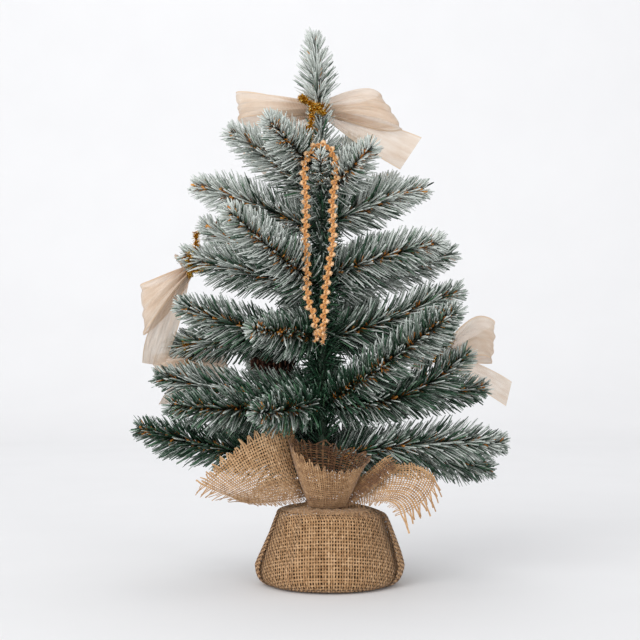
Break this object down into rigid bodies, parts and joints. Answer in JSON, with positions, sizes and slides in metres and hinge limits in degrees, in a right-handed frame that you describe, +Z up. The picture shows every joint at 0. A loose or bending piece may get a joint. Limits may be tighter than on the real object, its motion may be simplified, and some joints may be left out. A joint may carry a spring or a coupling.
{
  "type": "artificial tabletop tree",
  "caption": "Small frosted artificial tree on a burlap-wrapped weighted base, with bendable wire branches, sheer ribbon bows, a plaited cord loop and a pine cone.",
  "frame": {"origin": "centre of the underside of the wrapped base, on the surface it stands on", "axes": "+Z up the trunk, +X to the right of the front, +Y to the rear"},
  "size_m": [0.3512, 0.2599, 0.4993],
  "materials": {
    "cement": "rough cast",
    "burlap": "coarse open jute weave",
    "jute_twine": "twisted, hairy",
    "steel_wire": "drawn wire",
    "trunk_tape": "matte wound tape",
    "foliage": "matte cut film with white frosting",
    "ribbon": "sheer satin",
    "tinsel": "metallic foil",
    "garland_cord": "loose plait",
    "cone_scales": "dry, woody"
  },
  "bodies": {
    "trunk": {"burlap_bag": "burlap", "cement_base": "cement", "neck_tie": "jute_twine", "burlap_ruffle": "burlap", "trunk_rod": "steel_wire", "trunk_wrap": "trunk_tape", "leader_shoot": "foliage", "branch_roots": "steel_wire", "binding_wires": "steel_wire", "top_bow_ribbon": "ribbon", "top_bow_tie": "tinsel"},
    "low_right_branch": {"low_right": "foliage"},
    "low_right_rear_branch": {"low_right_rear": "foliage"},
    "low_rear_right_branch": {"low_rear_right": "foliage"},
    "low_rear_branch": {"low_rear": "foliage"},
    "low_rear_left_branch": {"low_rear_left": "foliage"},
    "low_left_branch": {"low_left": "foliage"},
    "lower_front_right_branch": {"lower_front_right": "foliage"},
    "lower_right_curled_branch": {"lower_right_curled": "foliage"},
    "lower_right_branch": {"lower_right": "foliage"},
    "lower_rear_right_branch": {"lower_rear_right": "foliage"},
    "lower_rear_branch": {"lower_rear": "foliage"},
    "lower_rear_left_branch": {"lower_rear_left": "foliage"},
    "lower_left_branch": {"lower_left": "foliage"},
    "lower_left_front_branch": {"lower_left_front": "foliage"},
    "lower_front_left_branch": {"lower_front_left": "foliage"},
    "mid_right_branch": {"mid_right": "foliage"},
    "mid_right_rear_branch": {"mid_right_rear": "foliage", "right_bow_ribbon": "ribbon", "right_bow_tie": "tinsel"},
    "mid_rear_right_branch": {"mid_rear_right": "foliage"},
    "mid_rear_left_branch": {"mid_rear_left": "foliage"},
    "mid_left_rear_branch": {"mid_left_rear": "foliage", "rear_bow_ribbon": "ribbon", "rear_bow_tie": "tinsel", "pine_cone": "cone_scales", "pine_cone_wire": "steel_wire"},
    "mid_left_branch": {"mid_left": "foliage"},
    "mid_front_left_branch": {"mid_front_left": "foliage"},
    "upper_right_branch": {"upper_right": "foliage"},
    "upper_right_rear_branch": {"upper_right_rear": "foliage"},
    "upper_rear_right_branch": {"upper_rear_right": "foliage"},
    "upper_rear_left_branch": {"upper_rear_left": "foliage"},
    "upper_left_rear_branch": {"upper_left_rear": "foliage"},
    "upper_left_branch": {"upper_left": "foliage", "left_bow_ribbon": "ribbon", "left_bow_tie": "tinsel"},
    "upper_front_left_branch": {"upper_front_left": "foliage"},
    "high_right_branch": {"high_right": "foliage"},
    "high_rear_right_branch": {"high_rear_right": "foliage"},
    "high_rear_left_branch": {"high_rear_left": "foliage"},
    "high_left_branch": {"high_left": "foliage"},
    "top_front_right_branch": {"top_front_right": "foliage"},
    "top_rear_right_branch": {"top_rear_right": "foliage"},
    "top_rear_left_branch": {"top_rear_left": "foliage"},
    "top_left_branch": {"top_left": "foliage"},
    "top_front_left_branch": {"top_front_left": "foliage"},
    "top_front_branch": {"top_front": "foliage"},
    "garland": {"garland_loop_cord": "garland_cord", "garland_loop_knot": "garland_cord"}
  },
  "joints": [
    {"name": "low_right_bend", "type": "hinge", "parent": "trunk", "child": "low_right_branch", "pos_m": [0.00898, -0.00063, 0.112], "axis": [-0.0698, -0.9976, 0], "range_deg": [-20, 35]},
    {"name": "low_right_rear_bend", "type": "hinge", "parent": "trunk", "child": "low_right_rear_branch", "pos_m": [0.00834, 0.00337, 0.112], "axis": [0.3746, -0.9272, 0], "range_deg": [-20, 35]},
    {"name": "low_rear_right_bend", "type": "hinge", "parent": "trunk", "child": "low_rear_right_branch", "pos_m": [0.00263, 0.00861, 0.112], "axis": [0.9563, -0.2924, 0], "range_deg": [-20, 35]},
    {"name": "low_rear_bend", "type": "hinge", "parent": "trunk", "child": "low_rear_branch", "pos_m": [-0.00187, 0.0088, 0.112], "axis": [0.9781, 0.2079, 0], "range_deg": [-20, 35]},
    {"name": "low_rear_left_bend", "type": "hinge", "parent": "trunk", "child": "low_rear_left_branch", "pos_m": [-0.00602, 0.00669, 0.112], "axis": [0.7431, 0.6691, 0], "range_deg": [-20, 35]},
    {"name": "low_left_bend", "type": "hinge", "parent": "trunk", "child": "low_left_branch", "pos_m": [-0.00886, -0.00156, 0.112], "axis": [-0.1736, 0.9848, 0], "range_deg": [-20, 35]},
    {"name": "lower_front_right_bend", "type": "hinge", "parent": "trunk", "child": "lower_front_right_branch", "pos_m": [0.00679, -0.0059, 0.163], "axis": [-0.6561, -0.7547, 0], "range_deg": [-20, 35]},
    {"name": "lower_right_curled_bend", "type": "hinge", "parent": "trunk", "child": "lower_right_curled_branch", "pos_m": [0.00851, -0.00293, 0.163], "axis": [-0.3256, -0.9455, 0], "range_deg": [-20, 35]},
    {"name": "lower_right_bend", "type": "hinge", "parent": "trunk", "child": "lower_right_branch", "pos_m": [0.00889, 0.00141, 0.163], "axis": [0.1564, -0.9877, 0], "range_deg": [-20, 35]},
    {"name": "lower_rear_right_bend", "type": "hinge", "parent": "trunk", "child": "lower_rear_right_branch", "pos_m": [0.00477, 0.00763, 0.163], "axis": [0.848, -0.5299, 0], "range_deg": [-20, 10]},
    {"name": "lower_rear_bend", "type": "hinge", "parent": "trunk", "child": "lower_rear_branch", "pos_m": [0.00031, 0.00899, 0.163], "axis": [0.9994, -0.0349, 0], "range_deg": [-20, 35]},
    {"name": "lower_rear_left_bend", "type": "hinge", "parent": "trunk", "child": "lower_rear_left_branch", "pos_m": [-0.00422, 0.00795, 0.163], "axis": [0.8829, 0.4695, 0], "range_deg": [-20, 35]},
    {"name": "lower_left_bend", "type": "hinge", "parent": "trunk", "child": "lower_left_branch", "pos_m": [-0.00899, 0.00031, 0.168], "axis": [0.0349, 0.9994, 0], "range_deg": [-20, 35]},
    {"name": "lower_left_front_bend", "type": "hinge", "parent": "trunk", "child": "lower_left_front_branch", "pos_m": [-0.00809, -0.00394, 0.163], "axis": [-0.4384, 0.8988, 0], "range_deg": [-20, 35]},
    {"name": "lower_front_left_bend", "type": "hinge", "parent": "trunk", "child": "lower_front_left_branch", "pos_m": [-0.00503, -0.00746, 0.163], "axis": [-0.829, 0.5592, 0], "range_deg": [-20, 35]},
    {"name": "mid_right_bend", "type": "hinge", "parent": "trunk", "child": "mid_right_branch", "pos_m": [0.00895, -0.00094, 0.222], "axis": [-0.1045, -0.9945, 0], "range_deg": [-20, 35]},
    {"name": "mid_right_rear_bend", "type": "hinge", "parent": "trunk", "child": "mid_right_rear_branch", "pos_m": [0.00755, 0.0049, 0.222], "axis": [0.5446, -0.8387, 0], "range_deg": [-10, 35]},
    {"name": "mid_rear_right_bend", "type": "hinge", "parent": "trunk", "child": "mid_rear_right_branch", "pos_m": [0.00323, 0.0084, 0.222], "axis": [0.9336, -0.3584, 0], "range_deg": [-20, 35]},
    {"name": "mid_rear_left_bend", "type": "hinge", "parent": "trunk", "child": "mid_rear_left_branch", "pos_m": [-0.00218, 0.00873, 0.222], "axis": [0.9703, 0.2419, 0], "range_deg": [-20, 25]},
    {"name": "mid_left_rear_bend", "type": "hinge", "parent": "trunk", "child": "mid_left_rear_branch", "pos_m": [-0.00846, 0.00308, 0.22], "axis": [0.342, 0.9397, 0], "range_deg": [-20, 35]},
    {"name": "mid_left_bend", "type": "hinge", "parent": "trunk", "child": "mid_left_branch", "pos_m": [-0.00886, -0.00156, 0.222], "axis": [-0.1736, 0.9848, 0], "range_deg": [-20, 35]},
    {"name": "mid_front_left_bend", "type": "hinge", "parent": "trunk", "child": "mid_front_left_branch", "pos_m": [-0.00625, -0.00647, 0.222], "axis": [-0.7193, 0.6947, 0], "range_deg": [-20, 35]},
    {"name": "upper_right_bend", "type": "hinge", "parent": "trunk", "child": "upper_right_branch", "pos_m": [0.00846, -0.00308, 0.278], "axis": [-0.342, -0.9397, 0], "range_deg": [-20, 35]},
    {"name": "upper_right_rear_bend", "type": "hinge", "parent": "trunk", "child": "upper_right_rear_branch", "pos_m": [0.00873, 0.00218, 0.266], "axis": [0.2419, -0.9703, 0], "range_deg": [-20, 35]},
    {"name": "upper_rear_right_bend", "type": "hinge", "parent": "trunk", "child": "upper_rear_right_branch", "pos_m": [0.00503, 0.00746, 0.272], "axis": [0.829, -0.5592, 0], "range_deg": [-20, 35]},
    {"name": "upper_rear_left_bend", "type": "hinge", "parent": "trunk", "child": "upper_rear_left_branch", "pos_m": [-0.00308, 0.00846, 0.272], "axis": [0.9397, 0.342, 0], "range_deg": [-20, 25]},
    {"name": "upper_left_rear_bend", "type": "hinge", "parent": "trunk", "child": "upper_left_rear_branch", "pos_m": [-0.00763, 0.00477, 0.268], "axis": [0.5299, 0.848, 0], "range_deg": [-20, 35]},
    {"name": "upper_left_bend", "type": "hinge", "parent": "trunk", "child": "upper_left_branch", "pos_m": [-0.00897, 0.00078, 0.267], "axis": [0.0872, 0.9962, 0], "range_deg": [-20, 35]},
    {"name": "upper_front_left_bend", "type": "hinge", "parent": "trunk", "child": "upper_front_left_branch", "pos_m": [-0.00614, -0.00658, 0.268], "axis": [-0.7314, 0.682, 0], "range_deg": [-20, 35]},
    {"name": "high_right_bend", "type": "hinge", "parent": "trunk", "child": "high_right_branch", "pos_m": [0.00895, -0.00094, 0.325], "axis": [-0.1045, -0.9945, 0], "range_deg": [-20, 35]},
    {"name": "high_rear_right_bend", "type": "hinge", "parent": "trunk", "child": "high_rear_right_branch", "pos_m": [0.00669, 0.00602, 0.325], "axis": [0.6691, -0.7431, 0], "range_deg": [-20, 35]},
    {"name": "high_rear_left_bend", "type": "hinge", "parent": "trunk", "child": "high_rear_left_branch", "pos_m": [-0.00233, 0.00869, 0.325], "axis": [0.9659, 0.2588, 0], "range_deg": [-20, 35]},
    {"name": "high_left_bend", "type": "hinge", "parent": "trunk", "child": "high_left_branch", "pos_m": [-0.00898, -0.00063, 0.318], "axis": [-0.0698, 0.9976, 0], "range_deg": [-20, 25]},
    {"name": "top_front_right_bend", "type": "hinge", "parent": "trunk", "child": "top_front_right_branch", "pos_m": [0.00554, -0.00709, 0.352], "axis": [-0.788, -0.6157, 0], "range_deg": [-20, 35]},
    {"name": "top_rear_right_bend", "type": "hinge", "parent": "trunk", "child": "top_rear_right_branch", "pos_m": [0.0045, 0.00779, 0.365], "axis": [0.866, -0.5, 0], "range_deg": [-20, 25]},
    {"name": "top_rear_left_bend", "type": "hinge", "parent": "trunk", "child": "top_rear_left_branch", "pos_m": [-0.00579, 0.00689, 0.365], "axis": [0.766, 0.6428, 0], "range_deg": [-20, 25]},
    {"name": "top_left_bend", "type": "hinge", "parent": "trunk", "child": "top_left_branch", "pos_m": [-0.00873, -0.00218, 0.35], "axis": [-0.2419, 0.9703, 0], "range_deg": [-20, 35]},
    {"name": "top_front_left_bend", "type": "hinge", "parent": "trunk", "child": "top_front_left_branch", "pos_m": [-0.00554, -0.00709, 0.372], "axis": [-0.788, 0.6157, 0], "range_deg": [-20, 35]},
    {"name": "top_front_bend", "type": "hinge", "parent": "trunk", "child": "top_front_branch", "pos_m": [-0.00031, -0.00899, 0.354], "axis": [-0.9994, 0.0349, 0], "range_deg": [-5, 10]},
    {"name": "garland_swing", "type": "hinge", "parent": "top_front_branch", "child": "garland", "pos_m": [-0.00127, -0.038, 0.37858], "axis": [0, 1, 0], "range_deg": [-6, 6]}
  ]
}
